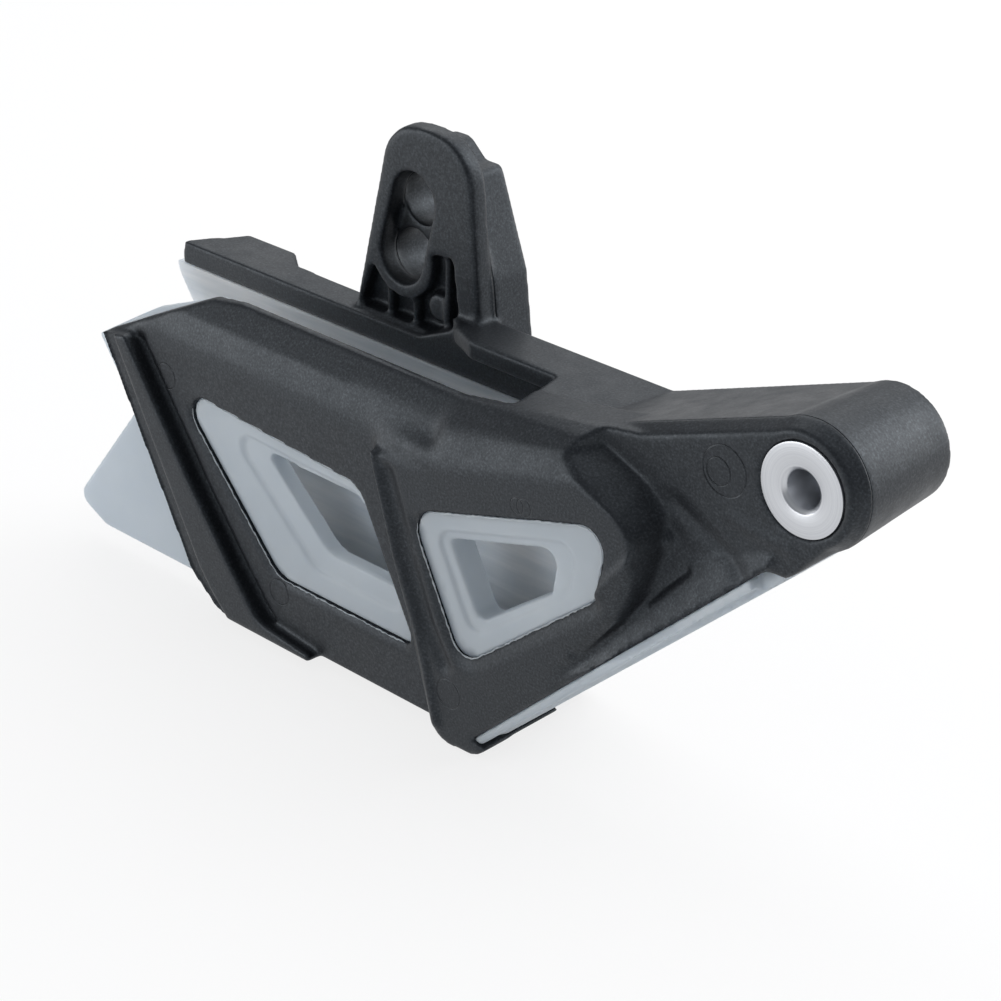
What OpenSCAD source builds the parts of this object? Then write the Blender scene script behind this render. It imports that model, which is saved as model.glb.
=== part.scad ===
// Chain guard: a moulded two-wall channel that a motorbike's drive chain runs through.
// A black outer shell carries a pale wear liner and a turned bushing for its front bolt.
// +X runs along the chain toward the bushing, +Y away from the near wall, +Z up.
// The part's origin is the middle of the bushing, on its bore axis. The modules below measure
// Y from the bushing's near face, and placed() moves each finished node to the origin.

/* [Front bushing] */
// Outer diameter of the bushing
bush_od = 16; // [13:0.5:17]
// Bore of the bushing
bush_bore = 6.4; // [5:0.1:8]
// Length of the bushing, and with it the width of the boss
bush_len = 25; // [23:0.5:28]
// Chamfer at both ends of the bore
bush_chamfer = 0.7; // [0.3:0.1:1]

/* [Boss and arm] */
// Wall of plastic round the bushing at the parting line
boss_wall = 3.2; // [2.5:0.1:5]
// Draft of the boss from its parting line to its far end, on the radius
boss_draft = 1.2; // [0.2:0.1:2]
// Depth of the rounded rim at the near face
boss_rim = 3; // [1.5:0.25:4]
// Slope of the arm's top, in degrees
arm_slope = 20; // [14:1:26]

/* [Channel] */
// Clear width inside the liner
chain_w = 20; // [18:0.5:24]
// Wall of the liner
liner_t = 2.5; // [2:0.1:3]
// Wall of the rear panel of the shell
rear_panel_t = 2.5; // [2:0.1:4]
// Wall of the front panel of the shell, which stands proud
front_panel_t = 4.5; // [3:0.1:6]
// Wall of the shell's floor
floor_t = 2; // [1.5:0.25:4]
// Wall of the shell on the far side
far_t = 3; // [2:0.25:5]
// Distance from the bushing's axis down to the bottom of the shell
depth = 71; // [66:0.5:80]
// How far the liner stands out of the front mouth
lip_out = 1.6; // [1:0.2:4]
// Height of the rear mouth flange above the rear panel
flange_h = 2.5; // [1:0.25:4]
// Width of the rear mouth flange
flange_w = 7; // [5:0.25:8]

/* [Windows] */
// How far the liner pads lie below the panels
pad_recess = 0.9; // [0.3:0.1:1.5]
// Depth of the step inside each pad
pad_step = 0.7; // [0.3:0.1:1]

/* [Tower] */
// Thickness of the tower's front plate
tower_front_t = 4; // [3:0.25:6]
// Thickness of the tower's back block
tower_back_t = 9; // [6:0.25:12]
// Radius of the two holes in the back block
tower_hole_r = 5; // [3.5:0.1:5.2]

/* [Hidden] */
$fn = 64;
eps = 0.01;
// How far the cuts reach past both sides of the guide
cut_near_y = -20;
cut_far_y = 40;

// Levels across the guide, along Y
liner_out_y = -3;
liner_in_y = liner_out_y + liner_t;
far_in_y = liner_in_y + chain_w;
far_liner_y = far_in_y + liner_t;
far_y = far_liner_y + far_t;
rear_y = liner_out_y - rear_panel_t;
front_y = liner_out_y - front_panel_t;
flange_y = rear_y - flange_h;

// Levels up the guide, along Z
shell_z = -depth;
liner_z = shell_z + floor_t;
crease_z = -17;
rim_z = -8;
rail_z = -12.5;
roof_z = -6.5;
roof_t = 3.8;
band_z = -17.2;
ceiling_z = -12.5;
slot_z = roof_z - roof_t;
lean_in = 4.6;
roof_edge_y = 15;
corner_drop = 2.6;
groove_w = 3;
lip_set_back = 0.5;
far_half_y = 12;
ledge_out = 6;
ramp_low_x = -104;
ramp_high_x = -90;

// Boss radii
bush_r = bush_od / 2;
boss_r = bush_r + boss_wall;
boss_far_r = boss_r - boss_draft;
boss_near_r = boss_r - 1.6;

// A unit vector, and the arc that rounds the corner at b between a and c
function unit(v) = v / norm(v);
function arc(a, b, c, r) =
    let (u = unit(a - b), w = unit(c - b), half = acos(u * w) / 2,
         m = b + unit(u + w) * r / sin(half),
         s = b + u * r / tan(half) - m, e = b + w * r / tan(half) - m,
         a0 = atan2(s.y, s.x), d0 = atan2(e.y, e.x) - a0,
         d = d0 > 180 ? d0 - 360 : d0 < -180 ? d0 + 360 : d0, n = 6)
    [for (i = [0:n]) m + r * [cos(a0 + d * i / n), sin(a0 + d * i / n)]];
function xy(p) = [p.x, p.y];
// An outline from corners [x, z, radius]; a radius of 0 keeps the corner sharp
function outline(c) = let (k = len(c))
    [for (i = [0:k - 1]) each c[i].z == 0 ? [xy(c[i])]
        : arc(xy(c[(i + k - 1) % k]), xy(c[i]), xy(c[(i + 1) % k]), c[i].z)];

// A side outline (x, z) extruded from y0 to y1
module side(y0, y1) {
    translate([0, y1, 0]) rotate([90, 0, 0]) linear_extrude(y1 - y0) children();
}
// A cross-section (y, z) extruded from x0 to x1
module section(x0, x1) {
    translate([x0, 0, 0]) rotate([90, 0, 90]) linear_extrude(x1 - x0) children();
}
// A plan outline (x, y) extruded from z0 to z1
module plan(z0, z1) {
    translate([0, 0, z0]) linear_extrude(z1 - z0) children();
}
// A round pin along Y
module pin(p, r, y0, y1) {
    translate([p.x, y1, p.y]) rotate([90, 0, 0]) cylinder(r = r, h = y1 - y0);
}

// Corners of the two mouths in the side view
mouth_top = [-164, -21.5];
mouth_low = [-141, shell_z + 6];
front_low = [-60.5, shell_z];
front_top = [-3, -16];
near_front_low = [-66, shell_z];
near_front_top = [-4.5, -14.8];
// Top of the front panel's foot, and the lip of the liner that covers the panel's front edge
foot_top = [[near_front_low.x + 2, near_front_low.y + 1], [front_low.x + 0.4, shell_z + 0.6]];
lip_end = near_front_top + (foot_top[0] - near_front_top) * 0.06;
front_lip = [foot_top[0], lip_end, lip_end + [1.1, -1.3], foot_top[0] + (foot_top[1] - foot_top[0]) * 0.55];
slot_end_x = -62;
arm_foot_x = -50;

// Side outline of the shell below the near wall's top edge
near_corners = [
    [mouth_top.x, mouth_top.y, 0], [-154, -16.4, 0], [-138, rim_z - 1, 0], [-127, rim_z + 0.5, 0],
    [-100, 20, 0], [front_top.x, 20, 0], [front_top.x, front_top.y, 0],
    [front_low.x, shell_z, 0], [-133, shell_z, 9], [mouth_low.x, mouth_low.y, 4]];
far_corners = [
    [-171, -17, 2], [-169, rail_z, 1], [-100, rail_z, 0], [front_top.x - 2, rail_z, 0],
    [front_top.x - 2, front_top.y, 0],
    [front_low.x - 2.5, shell_z, 3], [-133, shell_z, 9], [mouth_low.x, mouth_low.y, 4]];

// Windows in the panels, and the openings in the liner pads behind them
rear_window = [
    [-146, -27, 4], [-94, -30.6, 5], [-79.8, -58.8, 2], [-117.5, -58.6, 7]];
rear_pad_step = [
    [-132.5, -31.2, 3], [-94.5, -33, 4], [-83.5, -53.6, 2], [-107.5, -53.6, 6]];
rear_opening = [
    [-121, -33.4, 1], [-93.5, -34, 4], [-84.8, -48.8, 1], [-104, -48.8, 5]];
front_window = [
    [-79.5, -29.6, 5], [-32.4, -15.6, 4], [-35.2, -30.4, 3], [-66.8, -56, 4]];
front_pad_step = [
    [-73.5, -31.4, 3], [-39.5, -21.4, 3], [-41.8, -32.4, 3], [-64.6, -49.6, 3]];
front_opening = [
    [-70.3, -32.4, 0.6], [-44.6, -24.8, 2.5], [-46.2, -33.8, 0.8], [-63.2, -46.2, 2]];

// The hollow beside the front panel, where the web falls back to the arm's face
module web_hollow(shift) {
    difference() {
        hull() {
            side(front_y - 3 + shift, front_y - 0.2 + shift)
                polygon([[-46, -50.4], [-6.5, -16], [20, -8], [20, 24], [-46, 24]]);
            side(front_y + shift, shift)
                polygon([[-40, -6], [-21, -19], [-8, -10.5], [14, -4], [14, 24], [-40, 24]]);
        }
        // Nose of the panel, which grows toward the arm
        hull() {
            side(front_y - 4 + shift, front_y + shift)
                polygon([[-60, -9], [-46, -9], [-31, -15.6], [-29, -18], [-29.6, -25], [-34, -34.5],
                         [-45, -48], [-60, -55]]);
            side(shift, shift + 1)
                polygon([[-60, -6], [-40, -6], [-31, -9.6], [-26.4, -13.6], [-25.2, -18], [-25.4, -23],
                         [-28, -32], [-42, -48], [-60, -55]]);
        }
    }
}

// Cross-section of the channel's outside; the near wall bends in above its crease, and its foot
// reaches down by drop
module channel_section(near, drop) {
    lean = -near;
    polygon([[near, shell_z - drop], [near, crease_z - 3.5], [near + lean * 0.06, crease_z - 0.6],
             [near + lean * 0.36, crease_z + 4.2], [0, rim_z], [14, rim_z + 0.8],
             [far_y, rim_z + 0.8], [far_y, shell_z], [0, shell_z], [-drop, shell_z - drop]]);
}
// Cross-section of the cavity that the liner fills; grown inward by the liner's wall for the chain
module cavity_section(t) {
    lean = liner_out_y + t;
    polygon([[lean, liner_z + t], [lean, crease_z - 0.6], [lean + lean_in, slot_z],
             [far_in_y, slot_z], [far_in_y, band_z - eps],
             [far_liner_y - t, band_z - eps], [far_liner_y - t, liner_z + t]]);
}
// The cavity, closed by the ceiling in front of the slot
module cavity(t) {
    difference() {
        intersection() {
            section(-200, 30) cavity_section(t);
            side(cut_near_y, cut_far_y)
                polygon([[-200, -90], [30, -90], [30, -15.5 - t], [front_top.x, -15.5 - t],
                         [slot_end_x - 3, ceiling_z - t], [slot_end_x - 3, 10], [-200, 10]]);
        }
        web_hollow(3 + t);
    }
}
// Outline of the liner's near half, behind and below the near wall, and of its far half
liner_near = [
    [mouth_top.x - 7, mouth_top.y - 3.9], [mouth_top.x + 10, mouth_top.y + 6.1], [-136, rim_z - 1],
    [slot_end_x + 2, rim_z - 1.2], [slot_end_x + 2, rim_z - 2], [front_top.x, front_top.y + 2],
    [front_top.x + lip_out, front_top.y], [front_low.x + lip_out - 1, liner_z],
    [mouth_low.x + 3, liner_z], [mouth_low.x - 1, liner_z + 3]];
liner_far = [
    [mouth_top.x - 10.8, mouth_top.y + 4.5, 4.5], [mouth_top.x - 4, slot_z + 0.3, 0],
    [slot_end_x + 2, slot_z + 0.3, 0], [front_top.x, front_top.y + 2, 0],
    [front_top.x + lip_out, front_top.y, 0], [front_low.x + lip_out - 1, liner_z, 0],
    [mouth_low.x + 3, liner_z, 0], [mouth_low.x - 1, liner_z + 3, 0]];
// The slot in the roof, past which the chain shows
module roof_slot() {
    slot_y = liner_out_y + lean_in;
    plan(slot_z - 0.3, 10)
        polygon([[-200, slot_y], [slot_end_x, slot_y], [slot_end_x - 3, roof_edge_y],
                 [-86, roof_edge_y], [-96, far_in_y], [-200, far_in_y]]);
}

// Inner edge of the flange round the rear mouth, which tapers away along the floor
flange_inner = [
    [mouth_top.x + flange_w * 1.07, mouth_top.y + 1.5], [mouth_low.x + flange_w - 5.5, mouth_low.y + 20],
    [mouth_low.x + flange_w + 5.5, mouth_low.y + 5.5], [mouth_low.x + flange_w + 13, shell_z + 2.4],
    [-107, shell_z + 0.8]];
module mouth_flange(y0, y1) {
    side(y0, y1) polygon(outline([
        [mouth_top.x, mouth_top.y, 0], [flange_inner[0].x, flange_inner[0].y, 0],
        [flange_inner[1].x, flange_inner[1].y, 0], [flange_inner[2].x, flange_inner[2].y, 8],
        [flange_inner[3].x, flange_inner[3].y, 6], [flange_inner[4].x, flange_inner[4].y, 1],
        [-105.4, shell_z - 0.6, 0.6], [-133, shell_z - 0.6, 9], [mouth_low.x, mouth_low.y, 4]]));
}

// Tower outlines in the side view
tower_foot = rail_z;
tower_face_y = far_in_y + 1.5;
tower_mid_y = tower_face_y + tower_front_t;
tower_back_y = tower_mid_y + tower_back_t;
upper_hole = [-107.9, 11.6];
lower_hole = [-110.3, 0.2];
slot_top = [-106.4, 12.8];
slot_top_r = 5.4;
slot_low = [-109.8, 1.2];
slot_low_r = 5.5;

module tower() {
    difference() {
        union() {
            side(tower_face_y, tower_mid_y)
                polygon(outline([[-122.7, tower_foot, 0], [-112.3, 27, 9.5], [-92, 27, 9.5],
                                 [-89.3, tower_foot, 0]]));
            side(tower_mid_y, tower_back_y)
                polygon(outline([[-122, -24, 3], [-116.5, 15, 3], [-112.5, 18.5, 2],
                                 [-108.5, 22.6, 3], [-104, 22.6, 3], [-100, 19, 1], [-96.2, 19, 1.5],
                                 [-89.8, 0.5, 2], [-87.2, -24, 3]]));
        }
        // Pockets at the foot of the front plate, round the slot's rim, with three thin ribs
        difference() {
            side(tower_face_y - 1, tower_face_y + 3)
                polygon([[-121.2, tower_foot + 0.8], [-117.4, -2], [-98.6, 4.4], [-96.4, 4],
                         [-94.4, tower_foot + 0.8]]);
            pin(slot_low, slot_low_r + 2.6, cut_near_y, cut_far_y);
            pin([-101.2, -7], 2.8, tower_face_y + 1, cut_far_y);
            for (x = [-114, -107.2, -99]) side(tower_face_y + 0.6, cut_far_y)
                polygon([[x - 0.7, -20], [x + 0.7, -20], [x + 1.4, 10], [x, 10]]);
        }
        // Slot in the front plate
        side(tower_face_y - 1, tower_mid_y)
            polygon(keyhole(slot_top, slot_top_r, slot_low, slot_low_r));
        pin(upper_hole, tower_hole_r, tower_mid_y - eps, tower_back_y + 1);
        pin(lower_hole, tower_hole_r, tower_mid_y - eps, tower_back_y + 1);
    }
}
// Points on the circle of radius r at m, from angle t over d degrees
function sweep(m, r, t, d, n = 12) = [for (i = [0:n]) m + r * [cos(t + d * i / n), sin(t + d * i / n)]];
// Outline round two circles of radius ra at a and rb at b, where a lies above b
function keyhole(a, ra, b, rb) =
    let (v = b - a, t = atan2(v.y, v.x), s = acos((ra - rb) / norm(v)))
    concat(sweep(a, ra, t + s, 360 - 2 * s), sweep(b, rb, t - s, 2 * s));

// Outline of the arm where the boss has radius r: just below its tangent on top, flat below
function arm_profile(r) =
    let (top = (r - 0.2) * [cos(90 + arm_slope), sin(90 + arm_slope)],
         foot_z = top.y - (top.x - arm_foot_x) * tan(arm_slope))
    [[arm_foot_x, foot_z], top, [r * 0.6, -r * 0.75], [front_top.x + 1, front_top.y - 0.3],
     [arm_foot_x, -17]];
// Arm from the roof to the boss, with the boss's draft and its rounded near rim
module arm() {
    hull() {
        side(boss_rim, boss_rim + eps) polygon(arm_profile(boss_r));
        side(far_y - eps, far_y) polygon(arm_profile(boss_far_r));
    }
    hull() {
        side(0, eps) polygon(arm_profile(boss_near_r));
        side(boss_rim, boss_rim + eps) polygon(arm_profile(boss_r));
    }
}

module boss() {
    rotate([-90, 0, 0]) {
        cylinder(r1 = boss_near_r, r2 = boss_r, h = boss_rim);
        translate([0, 0, boss_rim]) cylinder(r1 = boss_r, r2 = boss_far_r, h = bush_len - boss_rim);
    }
}

// Walls, floor and roof of the channel, before the cavity is cut
module channel_body() {
    difference() {
        union() {
            difference() {
                intersection() {
                    section(-200, slot_end_x) channel_section(rear_y, 0);
                    side(cut_near_y, far_y) polygon(outline(near_corners));
                }
                // Room for the liner's lip at the foot of the front panel
                side(cut_near_y, liner_out_y)
                    polygon([[foot_top[0].x - 6, shell_z - 1], [slot_end_x + 1, shell_z - 1],
                             [slot_end_x + 1, shell_z + 9], [foot_top[0].x - 6, shell_z + 9]]);
            }
            // Front panel, proud of the rear one
            intersection() {
                section(-200, front_top.x) channel_section(front_y, corner_drop);
                side(cut_near_y, far_y)
                    polygon(outline([[-89.4, crease_z, 2], [-75, crease_z + 1, 0],
                                     [near_front_top.x, -5, 0],
                                     [near_front_top.x, near_front_top.y, 0],
                                     [foot_top[0].x, foot_top[0].y, 0],
                                     [foot_top[1].x, foot_top[1].y, 0],
                                     [front_low.x - 2.6, shell_z - corner_drop + 0.5, 5],
                                     [-73.4, shell_z - corner_drop, 5]]));
            }
            // Shoulder that climbs from the front panel's crease to the arm
            hull() {
                section(-74, -73.9)
                    polygon([[front_y, -30], [front_y, crease_z - 3], [front_y + 0.45, crease_z - 0.6],
                             [front_y + 2.7, crease_z + 4.2], [0, rim_z], [8, rim_z], [8, -30]]);
                section(-20.1, -20)
                    polygon([[front_y, -28], [front_y, -5.5], [front_y + 2, -1.8], [0, 0.6], [8, 0.6],
                             [8, -28]]);
            }
        }
        web_hollow(0);
        // The proud front panel runs out into the rear panel above its step
        plan(crease_z - 3.5, 10)
            polygon([[-92, rear_y], [-92, front_y - 2], [-72, front_y - 2], [-74, front_y]]);
        // The far wall stays level with its rail behind the roof's ramp
        plan(rail_z, 30)
            polygon([[-200, far_in_y - 1], [ramp_high_x, far_in_y - 1], [ramp_high_x, 40], [-200, 40]]);
        // The far half of the floor's front edge lies a little further back
        side(far_half_y, cut_far_y)
            polygon([[front_low.x - 2.5, shell_z - 9], [front_low.x - 2.5, shell_z],
                     [front_top.x - 2, front_top.y], [20, front_top.y], [20, shell_z - 9]]);
        // Groove beside the rear mouth's flange
        side(cut_near_y, rear_y + 1.2)
            polygon(concat(flange_inner, [for (i = [3:-1:0]) flange_inner[i] + [groove_w, 0]]));
    }
}

module far_wall() {
    side(far_liner_y, far_y) polygon(outline(far_corners));
    // Rail along the top of the far wall, with its wider rear end
    intersection() {
        side(far_in_y, far_y + 1)
            polygon([[-172.4, band_z], [-171, rail_z], [-80, rail_z], [-80, band_z]]);
        plan(-30, 0)
            polygon([[-172, far_in_y], [-168, far_y + 1], [-50, far_y + 1], [-50, far_in_y]]);
    }
    plan(rail_z - 2.5, rail_z)
        polygon([[-171, far_in_y], [-164.5, far_y + ledge_out], [-150.5, far_y + ledge_out],
                 [-145, far_y + 2], [-122, far_y + 1.5], [-122, far_in_y]]);
    // Roof plate beside the slot, which reaches over the chain
    plan(roof_z - roof_t, roof_z)
        polygon([[-96, far_in_y + 1], [-86, roof_edge_y], [slot_end_x - 3, roof_edge_y],
                 [slot_end_x, 0], [arm_foot_x + 8, 0], [arm_foot_x + 8, far_y], [ramp_high_x, far_y]]);
    // Ramp from the rail up to the roof
    side(far_in_y, far_y)
        polygon([[ramp_low_x, rail_z - 1], [ramp_low_x, rail_z], [ramp_high_x, roof_z],
                 [arm_foot_x, roof_z], [arm_foot_x, band_z - 1], [ramp_low_x, band_z - 1]]);
}

// Moves a node so that the bushing's middle is at the origin
module placed() {
    translate([0, -bush_len / 2, 0]) children();
}

module outer_shell() {
    color("#26282b") placed() difference() {
        union() {
            channel_body();
            far_wall();
            mouth_flange(flange_y, liner_out_y);
            mouth_flange(far_liner_y, far_y + 2);
            tower();
            arm();
            boss();
        }
        cavity(0);
        roof_slot();
        side(cut_near_y, cut_far_y) polygon(outline(rear_window));
        side(cut_near_y, cut_far_y) polygon(outline(front_window));
        pin([0, 0], bush_r, -1, bush_len + 1);
    }
}

module wear_liner() {
    color("#b4bdc4") placed() difference() {
        union() {
            intersection() {
                cavity(0);
                union() {
                    side(cut_near_y, far_half_y) polygon(liner_near);
                    side(far_half_y, cut_far_y) polygon(outline(liner_far));
                }
            }
            // Lip over the front edge of the near panel, which follows the web above the floor
            difference() {
                side(front_y + lip_set_back, liner_in_y + 2) polygon(front_lip);
                web_hollow(lip_set_back);
                side(liner_out_y, cut_far_y)
                    polygon([[front_low.x - 10, shell_z], [front_low.x + 10, shell_z],
                             [front_low.x + 10, liner_z], [front_low.x - 10, liner_z]]);
            }
            // Pads that fill the windows of both walls
            for (w = [rear_window, front_window]) {
                side(far_liner_y - eps, far_y - pad_recess) polygon(outline(w));
            }
            side(rear_y + pad_recess, liner_out_y + eps) polygon(outline(rear_window));
            side(front_y + pad_recess, liner_out_y + eps) polygon(outline(front_window));
            // Pointed ears behind the rear mouth
            for (y = [liner_out_y, far_in_y])
                side(y, y + liner_t)
                    polygon(outline([[-157, -34, 0], [-182.5, -65, 2.5], [-174, liner_z, 3],
                                     [-138, liner_z, 0]]));
        }
        cavity(liner_t);
        side(cut_near_y, rear_y + pad_recess + pad_step) polygon(outline(rear_pad_step));
        side(cut_near_y, front_y + pad_recess + pad_step) polygon(outline(front_pad_step));
        side(cut_near_y, liner_in_y + 1) polygon(outline(rear_opening));
        side(cut_near_y, liner_in_y + 1) polygon(outline(front_opening));
    }
}

module front_bushing() {
    color("#c9ccd0") placed() rotate([-90, 0, 0]) difference() {
        cylinder(r = bush_r, h = bush_len);
        translate([0, 0, -1]) cylinder(d = bush_bore, h = bush_len + 2);
        for (end = [0, 1]) translate([0, 0, end * bush_len]) mirror([0, 0, end])
            translate([0, 0, -eps])
                cylinder(d1 = bush_bore + 2 * bush_chamfer, d2 = bush_bore, h = bush_chamfer);
    }
}

outer_shell();
wear_liner();
front_bushing();
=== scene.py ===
# Chain guard: the visual model of a moulded black shell, its pale wear liner and its turned bushing.
# Tables are in millimetres: X and Z as in the row frame, Y from the bushing's near face.
import math
import random

import bpy
import numpy as np
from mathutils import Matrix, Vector


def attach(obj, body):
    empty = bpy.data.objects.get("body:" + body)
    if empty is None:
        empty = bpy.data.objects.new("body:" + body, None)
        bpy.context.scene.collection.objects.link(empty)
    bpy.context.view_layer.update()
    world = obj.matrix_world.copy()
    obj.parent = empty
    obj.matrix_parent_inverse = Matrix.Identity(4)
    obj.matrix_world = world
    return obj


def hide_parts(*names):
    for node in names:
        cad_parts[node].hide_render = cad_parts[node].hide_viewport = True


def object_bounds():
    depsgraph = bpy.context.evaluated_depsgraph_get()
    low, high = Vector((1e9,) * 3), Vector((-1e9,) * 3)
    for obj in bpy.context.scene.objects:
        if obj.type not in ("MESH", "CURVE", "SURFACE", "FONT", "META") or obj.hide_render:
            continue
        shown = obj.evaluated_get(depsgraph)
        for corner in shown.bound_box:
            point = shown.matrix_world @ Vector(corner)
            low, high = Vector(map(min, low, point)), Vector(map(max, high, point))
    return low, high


MM = 0.001
BUSH_LEN = 25.0
NEAR = -BUSH_LEN / 2  # the bushing's near face; the tables measure Y from it
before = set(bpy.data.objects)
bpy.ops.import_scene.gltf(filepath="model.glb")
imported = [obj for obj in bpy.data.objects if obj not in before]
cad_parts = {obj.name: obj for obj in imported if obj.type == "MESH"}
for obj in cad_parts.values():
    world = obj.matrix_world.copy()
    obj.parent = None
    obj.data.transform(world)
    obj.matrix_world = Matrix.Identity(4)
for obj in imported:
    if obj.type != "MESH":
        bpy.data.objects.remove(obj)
bpy.ops.object.select_all(action="DESELECT")
cad_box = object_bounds()
scene = bpy.context.scene


# Small helpers for meshes

def activate(piece):
    """Selects one piece alone and makes it the active one."""
    bpy.ops.object.select_all(action="DESELECT")
    piece.select_set(True)
    bpy.context.view_layer.objects.active = piece


def new_piece(name, verts, faces=(), edges=()):
    """A piece from vertices in table millimetres."""
    mesh = bpy.data.meshes.new(name)
    mesh.from_pydata([(v[0] * MM, (v[1] + NEAR) * MM, v[2] * MM) for v in verts], list(edges), list(faces))
    piece = bpy.data.objects.new(name, mesh)
    scene.collection.objects.link(piece)
    return piece


def apply_modifier(piece, kind, **settings):
    """Adds a modifier with these settings and applies it."""
    activate(piece)
    modifier = piece.modifiers.new(kind.title(), kind)
    for key, value in settings.items():
        setattr(modifier, key, value)
    bpy.ops.object.modifier_apply(modifier=modifier.name)


def copy_node(cad_node, name):
    """A merged copy of a CAD node's mesh, which stays as it is."""
    piece = bpy.data.objects.new(name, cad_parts[cad_node].data.copy())
    scene.collection.objects.link(piece)
    piece.data.materials.clear()
    activate(piece)
    bpy.ops.object.mode_set(mode="EDIT")
    bpy.ops.mesh.select_all(action="SELECT")
    bpy.ops.mesh.remove_doubles(threshold=1e-6)
    bpy.ops.mesh.customdata_custom_splitnormals_clear()
    bpy.ops.object.mode_set(mode="OBJECT")
    return piece


def join(pieces):
    """Joins the pieces into the first of them."""
    bpy.ops.object.select_all(action="DESELECT")
    for piece in pieces:
        piece.select_set(True)
    bpy.context.view_layer.objects.active = pieces[0]
    bpy.ops.object.join()
    return pieces[0]


TUBE_SIDES = 6
TUBE_END = 0.35  # the radius of a tube's ends, as a share of its radius
OFF_AXIS = Vector((0.31, 0.83, 0.46))  # a direction that no tube runs in


def tube(name, path, radius, wobble, seed):
    """A closed tube of the given radius along a path of points; wobble varies its radius."""
    rng = random.Random(seed)
    verts, faces, count = [], [], len(path)
    points = [Vector(p) for p in path]
    for i, p in enumerate(points):
        along = (points[min(i + 1, count - 1)] - points[max(i - 1, 0)]).normalized()
        side = along.cross(OFF_AXIS).normalized()
        other = along.cross(side)
        end = TUBE_END if i in (0, count - 1) else 1.0
        r = radius * end * (1 + wobble * rng.uniform(-1, 1))
        for k in range(TUBE_SIDES):
            a = 2 * math.pi * k / TUBE_SIDES
            verts.append(p + side * r * math.cos(a) + other * r * math.sin(a))
    for i in range(count - 1):
        ring, following = i * TUBE_SIDES, (i + 1) * TUBE_SIDES
        for k in range(TUBE_SIDES):
            n = (k + 1) % TUBE_SIDES
            faces.append([ring + k, ring + n, following + n, following + k])
    faces.append(list(range(TUBE_SIDES))[::-1])
    faces.append([(count - 1) * TUBE_SIDES + k for k in range(TUBE_SIDES)])
    return new_piece(name, verts, faces)


def sampled(points, step):
    """The points joined by straight runs, with a point about every step."""
    path = []
    for a, b in zip(points, points[1:]):
        a, b = Vector(a), Vector(b)
        n = max(1, int((b - a).length / step))
        path += [a.lerp(b, i / n) for i in range(n)]
    return path + [Vector(points[-1])]


CORNER_STEPS = 5
CORNER = CORNER_STEPS + 1  # the points on each rounded corner


def rounded(corners):
    """A closed outline of (x, z, radius) corners with its corners rounded, as (x, z) points."""
    outline, count = [], len(corners)
    for i, (x, z, radius) in enumerate(corners):
        corner = Vector((x, z))
        back = (Vector(corners[i - 1][:2]) - corner).normalized()
        ahead = (Vector(corners[(i + 1) % count][:2]) - corner).normalized()
        half = back.angle(ahead) / 2
        middle = corner + (back + ahead).normalized() * radius / math.sin(half)
        start, end = ((corner + way * radius / math.tan(half) - middle) / radius for way in (back, ahead))
        outline += [tuple(middle + radius * start.slerp(end, k / CORNER_STEPS)) for k in range(CORNER)]
    return outline + outline[:1]


def stretch(outline, first, last):
    """The points of a closed outline from the first number to the last, past its start if need be."""
    count = len(outline) - 1
    return [outline[i % count] for i in range(first, last + 1)]


def read_skin(piece):
    """The vertices in table millimetres, and their normals."""
    mesh = piece.data
    places = np.empty(len(mesh.vertices) * 3, dtype=np.float32)
    normals = np.empty(len(mesh.vertices) * 3, dtype=np.float32)
    mesh.vertices.foreach_get("co", places)
    mesh.vertex_normals.foreach_get("vector", normals)
    return places.reshape(-1, 3) / MM - (0, NEAR, 0), normals.reshape(-1, 3)


def path_distance(places, path):
    """How far each vertex is from a path of (x, z) points in the side view."""
    at, best = places[:, (0, 2)], np.full(len(places), 1e9)
    for a, b in zip(path, path[1:]):
        a, run = np.array(a), np.array(b) - np.array(a)
        share = np.clip((at - a) @ run / (run @ run), 0, 1)
        best = np.minimum(best, np.linalg.norm(at - a - share[:, None] * run, axis=1))
    return best


def fade(distance, width, soft):
    """1 up to width - soft, 0 past width + soft, and smooth between them."""
    t = np.clip((width + soft - distance) / (2 * soft), 0, 1)
    return t * t * (3 - 2 * t)


FACING_FROM, FACING_FULL = 0.15, 0.65  # skin is carved as it faces the near side, from none to all
MARK_FADE, ZONE_FADE = 0.3, 0.5  # how softly a mark or a zone ends in y


def carve(piece, marks):
    """Raises or sinks the near skin along paths: (path, lowest y, highest y, height, width, soft)."""
    places, normals = read_skin(piece)
    facing = np.clip((-normals[:, 1] - FACING_FROM) / (FACING_FULL - FACING_FROM), 0, 1)
    lift = np.zeros(len(places))
    for path, low, high, height, width, soft in marks:
        inside = fade(np.abs(places[:, 1] - (low + high) / 2), (high - low) / 2, MARK_FADE)
        lift += height * inside * fade(path_distance(places, path), width, soft)
    places[:, 1] -= lift * facing
    piece.data.vertices.foreach_set("co", ((places + (0, NEAR, 0)) * MM).astype(np.float32).ravel())
    piece.data.update()


SOFT_LEVELS = 4  # the steps in which a soft zone fades out


def soften(piece, zones):
    """Rounds the skin near paths: (path, lowest y, highest y, reach, rounds)."""
    for path, low, high, reach, rounds in zones:
        places, _ = read_skin(piece)
        weight = fade(path_distance(places, path), reach * 0.6, reach * 0.4)
        weight *= fade(np.abs(places[:, 1] - (low + high) / 2), (high - low) / 2, ZONE_FADE)
        group = piece.vertex_groups.new(name="soft")
        for level in range(1, SOFT_LEVELS + 1):
            chosen = np.nonzero((weight * SOFT_LEVELS).round() == level)[0].tolist()
            group.add(chosen, level / SOFT_LEVELS, "REPLACE")
        apply_modifier(piece, "SMOOTH", factor=0.5, iterations=rounds, vertex_group="soft")
        piece.vertex_groups.remove(piece.vertex_groups["soft"])


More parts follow.
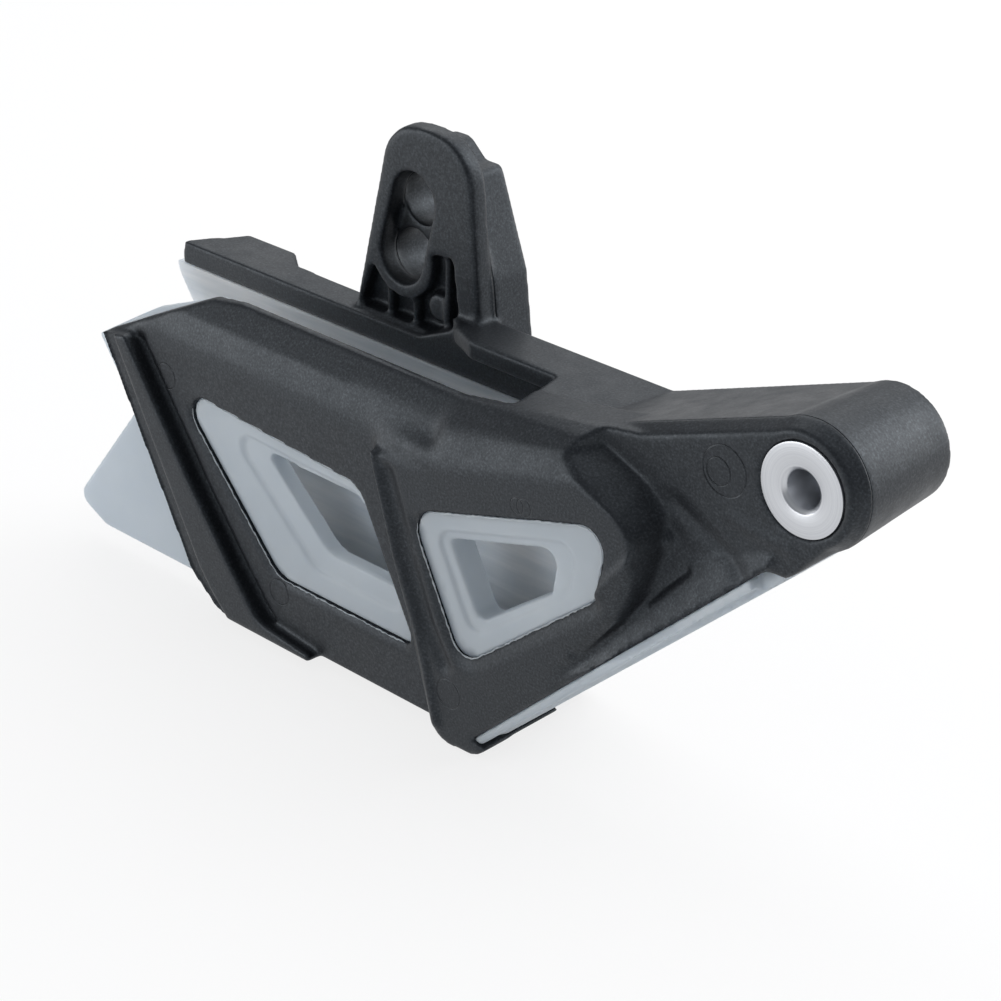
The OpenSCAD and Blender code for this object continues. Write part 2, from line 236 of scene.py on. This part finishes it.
def melt(piece, voxel, rounds):
    """Melts the joined solids into one skin with soft edges."""
    apply_modifier(piece, "REMESH", mode="VOXEL", voxel_size=voxel * MM, adaptivity=0.0)
    apply_modifier(piece, "SMOOTH", factor=0.5, iterations=rounds)


def thin_out(piece, triangles):
    """Brings the skin down to a number of triangles and shades it smooth."""
    count = sum(len(p.vertices) - 2 for p in piece.data.polygons)
    if count > triangles:
        apply_modifier(piece, "DECIMATE", ratio=triangles / count)
    activate(piece)
    bpy.ops.object.shade_smooth()


# Shell: the CAD solid with the mouldings that the photo shows on it. The outlines are (x, z) points.

SHELL_VOXEL, SHELL_ROUNDS, SHELL_TRIANGLES = 0.45, 6, 190000
CARVED_ROUNDS = 3  # the smoothing of the skin after it is carved

MOUTH_EDGE = [(-166, -17), (-164, -21.5), (-141, -65), (-137.5, -69.5), (-134, -73)]
TOWER_RIM = [(-121.5, -10), (-116.6, 8), (-113.4, 18.5), (-110.5, 23.8), (-106.5, 26.6), (-98.5, 26.6),
             (-94.2, 24), (-91.6, 18.5), (-90, -10)]
FRONT_WINDOW = rounded([(-79.5, -29.6, 5), (-32.4, -15.6, 4), (-35.2, -30.4, 3), (-66.8, -56, 4)])
REAR_WINDOW = rounded([(-146, -27, 4), (-94, -30.6, 5), (-79.8, -58.8, 2), (-117.5, -58.6, 7)])
LOWER_FRONT = stretch(FRONT_WINDOW, 3 * CORNER - 1, 4 * CORNER + 2)
LOWER_REAR = stretch(REAR_WINDOW, 3 * CORNER - 1, 4 * CORNER + 2)

SOFT_ZONES = [
    # The top edge of the rear panel
    ([(-160, -17), (-90, -17)], -7, -2, 5, 30),
    # The slope up to the arm
    ([(-94, -15), (-84, -13.5), (-60, -11.5)], -8, 1, 6.5, 90),
    # The step between the panels, above the post
    ([(-95, -15.5), (-80, -16.5)], -8.5, 0, 6, 120),
    # The top edge of the front panel
    ([(-80, -16.5), (-52, -14), (-24, -4)], -8, -1, 5, 30),
    # The rim of the tower
    (TOWER_RIM, 20.5, 24, 3, 30),
    # The end of the front panel
    ([(-30, -10), (-25.5, -14), (-25.5, -24), (-29, -32)], -8, 0.5, 3, 12),
    # The valley on the web
    ([(-45, -48), (-26, -24)], -8, 1, 4, 30),
    # The foot of the boss
    ([(-14, -14), (-8, -12), (-2, -11.5)], -3, 1.5, 3, 25),
]
CARVED_MARKS = [
    # The recessed edge of the rear mouth
    (MOUTH_EDGE, -9, -6.5, -1.1, 3.7, 0.5),
    # The ridge of the post and the groove beside it
    ([(-87.8, -21.5), (-82.8, -38), (-77.5, -51), (-75.0, -60), (-72.6, -70)], -8.8, -4.5, 0.75, 0.9, 0.9),
    ([(-84.2, -24), (-79.2, -38), (-74.6, -50), (-70.5, -57)], -8.8, -6, -0.8, 1.4, 1.4),
    # The dished edges of the windows
    (LOWER_FRONT, -8.5, -4, -0.75, 1.5, 1.5),
    (LOWER_REAR, -7, -4, -0.45, 0.9, 0.9),
    # The folds of the web
    ([(-34.9, -28.9), (-29.2, -22.2), (-25.4, -17.7)], -8, 1, 0.8, 0.8, 1.2),
    ([(-39.7, -42.3), (-30.4, -31.8), (-21.1, -21.7)], -8, 1, -0.6, 0.4, 0.9),
    ([(-13.0, -9.5), (-7.9, -10.3), (-1.5, -10.8)], -6, 1, 0.45, 0.8, 1.6),
    ([(-24.6, -11.0), (-17.7, -14.3), (-10.4, -17.8)], -6, 1, -0.6, 1.0, 2.0),
]

shell = copy_node("outer_shell", "shell")
melt(shell, SHELL_VOXEL, SHELL_ROUNDS)
soften(shell, SOFT_ZONES)
carve(shell, CARVED_MARKS)
apply_modifier(shell, "SMOOTH", factor=0.5, iterations=CARVED_ROUNDS)
thin_out(shell, SHELL_TRIANGLES)


# Liner: the CAD solid, with thin flash where it meets the shell

LINER_VOXEL, LINER_ROUNDS, LINER_TRIANGLES = 0.42, 5, 150000
NEAR_WALL_OUTSIDE = -2.5  # the outer side of the liner's near wall lies below this y
FLASH_STEP, FLASH_WOBBLE = 0.7, 0.5


def flash(name, path, y, radius, seed):
    """A thin uneven thread of plastic along an (x, z) path at one y."""
    rng = random.Random(seed)
    points = [(p.x, y + rng.uniform(-0.06, 0.06), p.z + rng.uniform(-0.1, 0.12))
              for p in sampled([(x, y, z) for x, z in path], FLASH_STEP)]
    return tube(name, points, radius, FLASH_WOBBLE, seed)


def thinness(piece):
    """Marks painted shade on the liner's near side, along the lower left of its windows where it meets the
    black shell.
    """
    places, _ = read_skin(piece)
    near = places[:, 1] < NEAR_WALL_OUTSIDE
    low_front = fade(path_distance(places, stretch(FRONT_WINDOW, 3 * CORNER + 1, 4 * CORNER + 1)), 1.3, 1.3)
    low_rear = fade(path_distance(places, stretch(REAR_WINDOW, 3 * CORNER + 2, 4 * CORNER)), 0.9, 0.9)
    layer = piece.data.attributes.new("thin", "FLOAT", "POINT")
    layer.data.foreach_set("value", (np.maximum(low_front, low_rear * 0.8) * near).astype(np.float32))


# Threads of flash along the windows, as name, path, y, radius and seed
FLASH = [
    ("flash_front", LOWER_FRONT, -6.75, 0.12, 3),
    ("flash_front_top", stretch(FRONT_WINDOW, CORNER - 1, 2 * CORNER), -7.4, 0.17, 4),
    ("flash_rear", LOWER_REAR, -5.05, 0.11, 5),
    ("flash_rear_top", stretch(REAR_WINDOW, CORNER - 1, 2 * CORNER - 3), -5.35, 0.1, 6),
]

liner = copy_node("wear_liner", "liner")
melt(liner, LINER_VOXEL, LINER_ROUNDS)
thin_out(liner, LINER_TRIANGLES)
thinness(liner)
liner = join([liner] + [flash(*thread) for thread in FLASH])
activate(liner)
bpy.ops.object.shade_smooth()


# Bushing: turned from its profile, with lathe-softened edges

def turned(name, profile, segments):
    """A closed profile of (radius, y) points spun round the bore's axis, along Y."""
    edges = [(i, (i + 1) % len(profile)) for i in range(len(profile))]
    piece = new_piece(name, [(r, y, 0) for r, y in profile], edges=edges)
    activate(piece)
    bpy.ops.object.mode_set(mode="EDIT")
    bpy.ops.mesh.select_all(action="SELECT")
    bpy.ops.mesh.spin(steps=segments, angle=2 * math.pi, center=(0, 0, 0), axis=(0, 1, 0))
    bpy.ops.mesh.select_all(action="SELECT")
    bpy.ops.mesh.remove_doubles(threshold=1e-6)
    bpy.ops.mesh.normals_make_consistent(inside=False)
    bpy.ops.object.mode_set(mode="OBJECT")
    return piece


BUSH_R, BORE_R, BUSH_SEGMENTS = 8.0, 3.2, 128
BORE_CHAMFER, RIM_ROUND = 0.8, 0.35
SPLIT_ANGLE = math.radians(35)
NEAR_END = [
    (BORE_R, BORE_CHAMFER), (BORE_R + 0.12, BORE_CHAMFER - 0.18),
    (BORE_R + BORE_CHAMFER - 0.12, 0.06), (BORE_R + BORE_CHAMFER, 0.0),
    (BUSH_R - RIM_ROUND, 0.0), (BUSH_R - 0.1, 0.08), (BUSH_R, RIM_ROUND)]
FAR_END = [(r, BUSH_LEN - y) for r, y in reversed(NEAR_END)]

bushing = turned("bushing", NEAR_END + FAR_END, BUSH_SEGMENTS)
activate(bushing)
bpy.ops.object.shade_smooth()
edge_split = bushing.modifiers.new("Edges", "EDGE_SPLIT")
edge_split.split_angle = SPLIT_ANGLE


# Materials

def material(name):
    """A new material with its node tree and its one Principled shader."""
    m = bpy.data.materials.new(name)
    m.use_nodes = True
    m.node_tree.nodes.clear()
    out = m.node_tree.nodes.new("ShaderNodeOutputMaterial")
    shader = m.node_tree.nodes.new("ShaderNodeBsdfPrincipled")
    m.node_tree.links.new(shader.outputs[0], out.inputs[0])
    return m, m.node_tree, shader


def feed(tree, socket, value):
    """Links a value that is a socket, and sets any other."""
    if isinstance(value, bpy.types.NodeSocket):
        tree.links.new(value, socket)
    else:
        socket.default_value = value


def node(tree, kind, inputs=None, **settings):
    """A shader node with its inputs fed and its settings made."""
    n = tree.nodes.new(kind)
    for key, value in settings.items():
        setattr(n, key, value)
    for key, value in (inputs or {}).items():
        feed(tree, n.inputs[key], value)
    return n


def noise(tree, where, scale, detail=2.0, rough=0.5):
    inputs = {"Vector": where, "Scale": scale, "Detail": detail, "Roughness": rough}
    return node(tree, "ShaderNodeTexNoise", inputs).outputs[0]


def ramp(tree, value, low, high, to_low=0.0, to_high=1.0):
    """The value's range from low to high, brought to another range and kept inside it."""
    inputs = {"Value": value, "From Min": low, "From Max": high, "To Min": to_low, "To Max": to_high}
    return node(tree, "ShaderNodeMapRange", inputs).outputs[0]


def blend_color(tree, factor, a, b):
    """Colour a where the factor is 0 and colour b where it is 1."""
    n = node(tree, "ShaderNodeMix", data_type="RGBA")
    for socket, value in ((0, factor), (6, a), (7, b)):
        feed(tree, n.inputs[socket], value)
    return n.outputs[2]


def bump(tree, height, strength, distance, before=None):
    """A bump of the height given in millimetres, on top of the one before."""
    inputs = {"Height": height, "Strength": strength, "Distance": distance * MM}
    if before is not None:
        inputs["Normal"] = before
    return node(tree, "ShaderNodeBump", inputs).outputs[0]


def side_view(tree):
    """The object coordinates, and the same flattened to the side view."""
    where = node(tree, "ShaderNodeTexCoord").outputs["Object"]
    parts = node(tree, "ShaderNodeSeparateXYZ", {0: where}).outputs
    flat = node(tree, "ShaderNodeCombineXYZ", {"X": parts[0], "Z": parts[2]}).outputs[0]
    return where, parts, flat


def math_node(tree, operation, *values):
    """The result of a Math node; each value is a number or a socket."""
    return node(tree, "ShaderNodeMath", dict(enumerate(values)), operation=operation).outputs[0]


def near_zero(tree, value, width):
    """1 where the value is 0, falling to 0 at the width, in millimetres."""
    return ramp(tree, math_node(tree, "ABSOLUTE", value), 0.0, width * MM, 1.0, 0.0)


def between(tree, value, low, high):
    """1 where the value is between low and high, in millimetres."""
    above = math_node(tree, "GREATER_THAN", value, low * MM)
    return math_node(tree, "MULTIPLY", above, math_node(tree, "LESS_THAN", value, high * MM))


# Where the mould has left lines: below this y its pins show, and its halves part at these y
PINS_BELOW, BOSS_PARTING, TOWER_PARTING = 1.5, 3.1, 25.0
BOSS_X, TOWER_Z = (-36, 20), (-6, 40)

# Marks of the mould's pins on the near side, as centre x, z and radius
PIN_MARKS = [(-116.9, -61.4, 2.6), (-69.4, -62.6, 2.9), (-15.0, -1.9, 4.4), (-16.2, -2.4, 2.4),
             (-52.6, -18.9, 1.5), (-51.0, -18.7, 1.6), (-147.2, -26.2, 2.6)]


def moulding_lines(tree, parts, flat):
    """Rings of the mould's pins and its parting lines, as a mask."""
    near = math_node(tree, "LESS_THAN", parts[1], (NEAR + PINS_BELOW) * MM)
    mask = None
    for x, z, radius in PIN_MARKS:
        away = node(tree, "ShaderNodeVectorMath", {0: flat, 1: (x * MM, 0, z * MM)}, operation="DISTANCE")
        ring = near_zero(tree, math_node(tree, "SUBTRACT", away.outputs["Value"], radius * MM), 0.17)
        mask = ring if mask is None else math_node(tree, "MAXIMUM", mask, ring)
    mask = math_node(tree, "MULTIPLY", mask, math_node(tree, "MULTIPLY", near, 0.6))
    boss = near_zero(tree, math_node(tree, "SUBTRACT", parts[1], (NEAR + BOSS_PARTING) * MM), 0.16)
    boss = math_node(tree, "MULTIPLY", boss, between(tree, parts[0], *BOSS_X))
    tower = near_zero(tree, math_node(tree, "SUBTRACT", parts[1], (NEAR + TOWER_PARTING) * MM), 0.28)
    tower = math_node(tree, "MULTIPLY", tower, between(tree, parts[2], *TOWER_Z))
    return math_node(tree, "MAXIMUM", math_node(tree, "MAXIMUM", mask, boss), tower)


BLACK, WORN_BLACK = (0.0072, 0.0078, 0.0094, 1), (0.0112, 0.0123, 0.0146, 1)
GRAIN_TIP, GRAIN_PIT = (0.036, 0.040, 0.047, 1), (0.003, 0.003, 0.004, 1)
# The paler edge colour is a painted highlight along the convex edges.
PAINTED_EDGE_HIGHLIGHT, LINE_BLACK = (0.045, 0.048, 0.053, 1), (0.002, 0.002, 0.002, 1)
COOL_SHEEN = (0.80, 0.90, 1.0, 1)


def shell_material():
    """Black moulded plastic: a fine grain, a painted highlight on its convex edges and the mould's lines.
    """
    m, tree, shader = material("shell_plastic")
    where, parts, flat = side_view(tree)
    grain = noise(tree, where, 2300.0, 2.0, 0.6)
    fine = noise(tree, where, 5600.0, 1.0)
    patch = noise(tree, where, 45.0, 4.0, 0.6)
    rubbed = noise(tree, where, 260.0, 5.0, 0.65)
    lines = moulding_lines(tree, parts, flat)
    color = blend_color(tree, ramp(tree, patch, 0.35, 0.7), BLACK, WORN_BLACK)
    color = blend_color(tree, ramp(tree, grain, 0.56, 0.72, 0, 0.5), color, GRAIN_TIP)
    color = blend_color(tree, ramp(tree, grain, 0.30, 0.44, 0.4, 0), color, GRAIN_PIT)
    edge = node(tree, "ShaderNodeNewGeometry").outputs["Pointiness"]
    # Painted highlight: convex edges, found by pointiness, are made paler.
    color = blend_color(tree, ramp(tree, edge, 0.54, 0.66, 0, 0.3), color, PAINTED_EDGE_HIGHLIGHT)
    color = blend_color(tree, math_node(tree, "MULTIPLY", lines, 0.7), color, LINE_BLACK)
    tree.links.new(color, shader.inputs["Base Color"])
    rough = math_node(tree, "ADD", ramp(tree, patch, 0.3, 0.7, 0.38, 0.48),
                      ramp(tree, rubbed, 0.3, 0.7, -0.04, 0.06))
    tree.links.new(rough, shader.inputs["Roughness"])
    tree.links.new(ramp(tree, grain, 0.35, 0.65, 0.34, 0.52), shader.inputs["Specular IOR Level"])
    shader.inputs["Specular Tint"].default_value = COOL_SHEEN
    normal = bump(tree, grain, 0.35, 0.05)
    normal = bump(tree, fine, 0.2, 0.02, normal)
    normal = bump(tree, rubbed, 0.05, 0.1, normal)
    normal = bump(tree, math_node(tree, "MULTIPLY", lines, -1.0), 1.0, 0.15, normal)
    tree.links.new(normal, shader.inputs["Normal"])
    return m


MILKY, MILKY_PALE = (0.56, 0.615, 0.66, 1), (0.64, 0.69, 0.725, 1)
# The dark blue colour is painted shade along the windows' lower-left edges.
# The near-white far-wall colour is painted light, standing in for light that comes through that wall from
# behind.
PAINTED_FAR_WALL_LIGHT, PAINTED_EDGE_SHADE = (0.92, 0.93, 0.94, 1), (0.030, 0.050, 0.075, 1)
LIT_THROUGH = (0.86, 0.90, 0.94, 1)
LIT_SHARE = 0.35  # how much of the liner's look is light that comes through it
FAR_WALL = (16, 24)  # the far wall lies between these y, all but the outer faces of its window pads


def liner_material():
    """Milky plastic that lets light through: cloudy, streaked along the chain and frosted, with painted
    light on the far wall and painted shade at the windows' lower-left edges.
    """
    m, tree, shader = material("liner_plastic")
    where, parts, _ = side_view(tree)
    cloud = noise(tree, where, 55.0, 3.0, 0.55)
    stretched = node(tree, "ShaderNodeMapping", {"Vector": where, "Rotation": (0.0, 0.42, 0.0),
                                                 "Scale": (0.08, 1.0, 1.0)})
    streak = noise(tree, stretched.outputs[0], 330.0, 3.0, 0.6)
    frost = noise(tree, where, 1800.0, 2.0)
    color = blend_color(tree, ramp(tree, cloud, 0.3, 0.7), MILKY, MILKY_PALE)
    # Painted light: the far wall is made pale in streaks, standing in for light that comes through it from
    # behind.
    far_wall = between(tree, parts[1], *(NEAR + y for y in FAR_WALL))
    painted_far_light = math_node(tree, "MULTIPLY", far_wall, ramp(tree, streak, 0.38, 0.62, 0.4, 1.0))
    color = blend_color(tree, painted_far_light, color, PAINTED_FAR_WALL_LIGHT)
    # Painted shade: the liner darkens to blue-black along the lower-left edges of its windows.
    thin = node(tree, "ShaderNodeAttribute", attribute_name="thin").outputs["Fac"]
    color = blend_color(tree, math_node(tree, "MULTIPLY", thin, 0.9), color, PAINTED_EDGE_SHADE)
    tree.links.new(color, shader.inputs["Base Color"])
    shader.inputs["Subsurface Weight"].default_value = 0.25
    shader.inputs["Subsurface Radius"].default_value = (1.0, 1.1, 1.25)
    shader.inputs["Subsurface Scale"].default_value = 0.0025
    through = node(tree, "ShaderNodeBsdfTranslucent", {"Color": LIT_THROUGH})
    both = node(tree, "ShaderNodeMixShader", {0: LIT_SHARE, 1: shader.outputs[0], 2: through.outputs[0]})
    out = next(n for n in tree.nodes if n.type == "OUTPUT_MATERIAL")
    tree.links.new(both.outputs[0], out.inputs[0])
    tree.links.new(ramp(tree, cloud, 0.3, 0.7, 0.32, 0.44), shader.inputs["Roughness"])
    normal = bump(tree, streak, 0.15, 0.1)
    normal = bump(tree, frost, 0.14, 0.03, normal)
    tree.links.new(normal, shader.inputs["Normal"])
    return m


ALUMINIUM, ALUMINIUM_PALE = (0.52, 0.535, 0.565, 1), (0.58, 0.595, 0.62, 1)


def aluminium_material():
    """Turned aluminium: fine rings round the bore."""
    m, tree, shader = material("turned_aluminium")
    _, _, flat = side_view(tree)
    radius = node(tree, "ShaderNodeVectorMath", {0: flat}, operation="LENGTH").outputs["Value"]
    rings = node(tree, "ShaderNodeTexNoise", {"W": radius, "Scale": 3800.0, "Detail": 1.0},
                 noise_dimensions="1D").outputs[0]
    shade = blend_color(tree, ramp(tree, rings, 0.3, 0.7), ALUMINIUM, ALUMINIUM_PALE)
    tree.links.new(shade, shader.inputs["Base Color"])
    shader.inputs["Metallic"].default_value = 1.0
    tree.links.new(ramp(tree, rings, 0.3, 0.7, 0.32, 0.38), shader.inputs["Roughness"])
    tree.links.new(bump(tree, rings, 0.12, 0.01), shader.inputs["Normal"])
    return m


shell.data.materials.append(shell_material())
liner.data.materials.append(liner_material())
bushing.data.materials.append(aluminium_material())

for piece, cad_node, slot in ((shell, "outer_shell", "shell_plastic"),
                              (liner, "wear_liner", "liner_plastic"),
                              (bushing, "front_bushing", "turned_aluminium")):
    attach(piece, "root")
    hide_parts(cad_node)


# Floor, light and camera

FLOOR_Z = cad_box[0][2] - 0.3 * MM
FLOOR_SIZE = 6.0
FLOOR_GLOW = 0.80  # the white share of the floor where the camera sees it
FLOOR_WHITE = (0.86, 0.86, 0.87, 1)
WORLD_WHITE, WORLD_STRENGTH = (0.93, 0.96, 1.0, 1), 0.38


def make_floor():
    bpy.ops.mesh.primitive_plane_add(size=FLOOR_SIZE, location=(0, 0, FLOOR_Z))
    floor = bpy.context.active_object
    floor.name = "floor"
    m = bpy.data.materials.new("floor")
    m.use_nodes = True
    tree = m.node_tree
    tree.nodes.clear()
    rays = node(tree, "ShaderNodeLightPath").outputs
    seen = math_node(tree, "MAXIMUM", rays["Is Camera Ray"], rays["Is Transmission Ray"])
    seen = math_node(tree, "MAXIMUM", seen, rays["Is Glossy Ray"])
    share = math_node(tree, "MULTIPLY", seen, FLOOR_GLOW)
    matt = node(tree, "ShaderNodeBsdfDiffuse", {"Color": FLOOR_WHITE})
    glow = node(tree, "ShaderNodeEmission", {"Color": (1, 1, 1, 1), "Strength": 1.0})
    mix = node(tree, "ShaderNodeMixShader", {0: share, 1: matt.outputs[0], 2: glow.outputs[0]})
    out = node(tree, "ShaderNodeOutputMaterial")
    tree.links.new(mix.outputs[0], out.inputs[0])
    floor.data.materials.append(m)


def make_world():
    world = bpy.data.worlds.new("studio")
    scene.world = world
    world.use_nodes = True
    background = world.node_tree.nodes["Background"]
    background.inputs["Color"].default_value = WORLD_WHITE
    background.inputs["Strength"].default_value = WORLD_STRENGTH


CENTRE = (-0.085, -0.004, -0.02)  # the point that every light faces, in metres

# Name, place in metres, size in metres and power in watts
LIGHTS = [
    ("top", (-0.15, 0.50, 0.75), (2.0, 1.1), 10.0),
    ("left", (-0.64, -0.60, 0.08), (0.9, 0.35), 3.0),
    ("right", (0.34, 0.56, 0.50), (0.5, 0.5), 2.6),
    ("back", (0.35, 0.80, 0.05), (0.6, 0.5), 3.0),
]


def area_light(name, place, size, power):
    """A white area light that points at the guard."""
    light = bpy.data.lights.new(name, "AREA")
    light.shape = "RECTANGLE"
    light.size, light.size_y = size
    light.energy = power
    lamp = bpy.data.objects.new(name, light)
    scene.collection.objects.link(lamp)
    lamp.location = place
    lamp.rotation_euler = (Vector(CENTRE) - Vector(place)).to_track_quat("-Z", "Y").to_euler()


make_floor()
make_world()
for light in LIGHTS:
    area_light(*light)

# The photo's own view: the lens in pixels of the photo, and the camera's turn in degrees and place
SENSOR, PHOTO_WIDTH, FOCAL_PIXELS = 36.0, 1001, 2600
CAMERA_TURN = (62.6087, 0.0355, 44.3462)
CAMERA_PLACE = (212.595, -295.018, 180.092)

camera_data = bpy.data.cameras.new("camera")
camera_data.lens = SENSOR * FOCAL_PIXELS / PHOTO_WIDTH
camera_data.sensor_width = SENSOR
camera_data.clip_start = 0.01
camera = bpy.data.objects.new("camera", camera_data)
scene.collection.objects.link(camera)
camera.location = [place * MM for place in CAMERA_PLACE]
camera.rotation_euler = [math.radians(angle) for angle in CAMERA_TURN]
scene.camera = camera
scene.view_settings.view_transform = "Standard"
